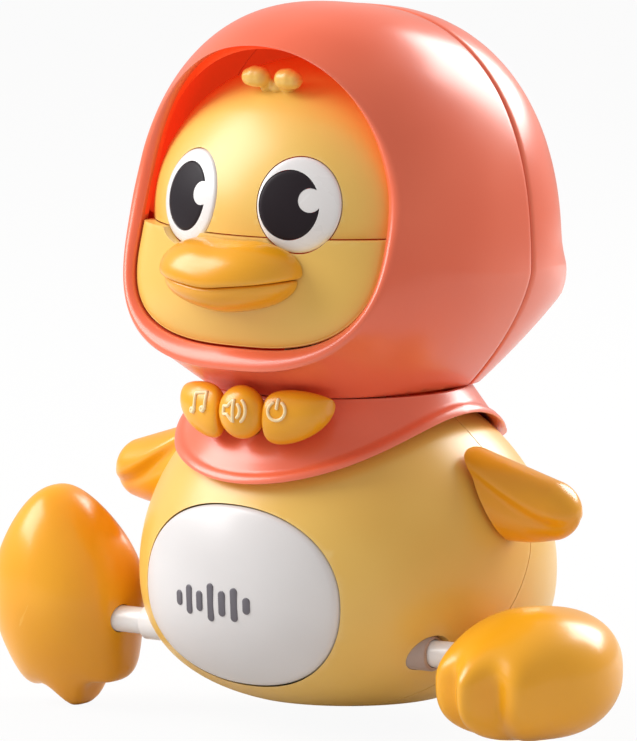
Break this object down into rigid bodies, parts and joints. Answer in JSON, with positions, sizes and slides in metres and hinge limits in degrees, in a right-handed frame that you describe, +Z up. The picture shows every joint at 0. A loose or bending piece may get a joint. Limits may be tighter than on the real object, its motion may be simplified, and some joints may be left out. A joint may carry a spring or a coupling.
{
  "type": "crawling duck toy",
  "caption": "Battery driven toy duck in a hood, with bow-tie push buttons, a lit oval belly panel, turning head and wings, and cranked feet on a motor driven axle.",
  "frame": {"origin": "middle of the duck's outline, level with the lowest toe", "axes": "+Z up, the duck faces -Y, its left side is +X"},
  "size_m": [0.1942, 0.1332, 0.1947],
  "materials": {
    "coral": "satin",
    "yellow": "satin",
    "orange": "satin",
    "white": "satin",
    "lamp_cover": "translucent satin",
    "gloss_black": "glossy",
    "nylon": "natural nylon",
    "grey": "satin",
    "steel": "brushed",
    "brass": "polished",
    "board": "solder mask",
    "cell_sleeve": "sleeve"
  },
  "bodies": {
    "body": {"bib": "coral", "body_front": "yellow", "body_rear": "yellow", "battery_door": "yellow", "axle_bush_left": "white", "axle_bush_right": "white", "lamp_left": "white", "lamp_middle": "white", "lamp_right": "white", "belly_panel": "lamp_cover", "switch_mode": "gloss_black", "switch_volume": "gloss_black", "switch_power": "gloss_black", "sound_chip": "gloss_black", "neck_post": "nylon", "gearbox_plate_left": "grey", "gearbox_plate_right": "grey", "battery_box": "grey", "speaker": "grey", "wing_pin_left": "steel", "wing_pin_right": "steel", "idler_pin": "steel", "motor_case": "steel", "door_screw": "steel", "contact_left": "brass", "contact_right": "brass", "button_board": "board", "main_board": "board", "lamp_board": "board", "battery_1": "cell_sleeve", "battery_2": "cell_sleeve", "battery_3": "cell_sleeve"},
    "head": {"hood_front": "coral", "hood_rear": "coral", "face_upper": "yellow", "face_lower": "yellow", "beak_upper": "orange", "beak_lower": "orange", "eye_white_left": "white", "eye_white_right": "white", "eye_pupil_left": "gloss_black", "eye_pupil_right": "gloss_black", "hair_tuft": "yellow", "head_frame": "nylon", "neck_retainer": "steel"},
    "legs": {"leg_axle": "white", "axle_gear": "nylon", "foot_left": "orange", "foot_right": "orange"},
    "idler": {"idler_gear": "nylon"},
    "motor_shaft": {"motor_pinion": "brass"},
    "left_wing": {"wing_left": "orange"},
    "right_wing": {"wing_right": "orange"},
    "mode_button": {"button_mode": "orange"},
    "volume_button": {"button_volume": "orange"},
    "power_button": {"button_power": "orange"}
  },
  "joints": [
    {"name": "feet_turn", "type": "hinge", "parent": "body", "child": "legs", "pos_m": [0, -0.02572, 0.02541], "axis": [1, 0, 0], "continuous": true},
    {"name": "idler_turn", "type": "hinge", "parent": "body", "child": "idler", "pos_m": [0, -0.01334, 0.0358], "axis": [1, 0, 0], "continuous": true},
    {"name": "motor_turn", "type": "hinge", "parent": "body", "child": "motor_shaft", "pos_m": [0, -0.01161, 0.04561], "axis": [1, 0, 0], "continuous": true},
    {"name": "head_turn", "type": "hinge", "parent": "body", "child": "head", "pos_m": [0, -0.00142, 0.09761], "axis": [0, 0, 1], "range_deg": [-20, 20]},
    {"name": "wing_left_turn", "type": "hinge", "parent": "body", "child": "left_wing", "pos_m": [0, 0.00108, 0.04161], "axis": [0.9033, 0, 0.4289], "range_deg": [-35, 15]},
    {"name": "wing_right_turn", "type": "hinge", "parent": "body", "child": "right_wing", "pos_m": [0, 0.00108, 0.04161], "axis": [-0.9033, 0, 0.4289], "range_deg": [-15, 35]},
    {"name": "mode_press", "type": "slide", "parent": "body", "child": "mode_button", "axis": [0, 1, 0], "range_m": [0, 0.0012], "stiffness_N_per_m": 1200, "springref_m": -0.0008},
    {"name": "volume_press", "type": "slide", "parent": "body", "child": "volume_button", "axis": [0, 1, 0], "range_m": [0, 0.0012], "stiffness_N_per_m": 1200, "springref_m": -0.0008},
    {"name": "power_press", "type": "slide", "parent": "body", "child": "power_button", "axis": [0, 1, 0], "range_m": [0, 0.0012], "stiffness_N_per_m": 1200, "springref_m": -0.0008}
  ],
  "couplings": [
    {"joint": "idler_turn", "follows": "feet_turn", "ratio": -3},
    {"joint": "motor_turn", "follows": "feet_turn", "ratio": 7.5}
  ]
}
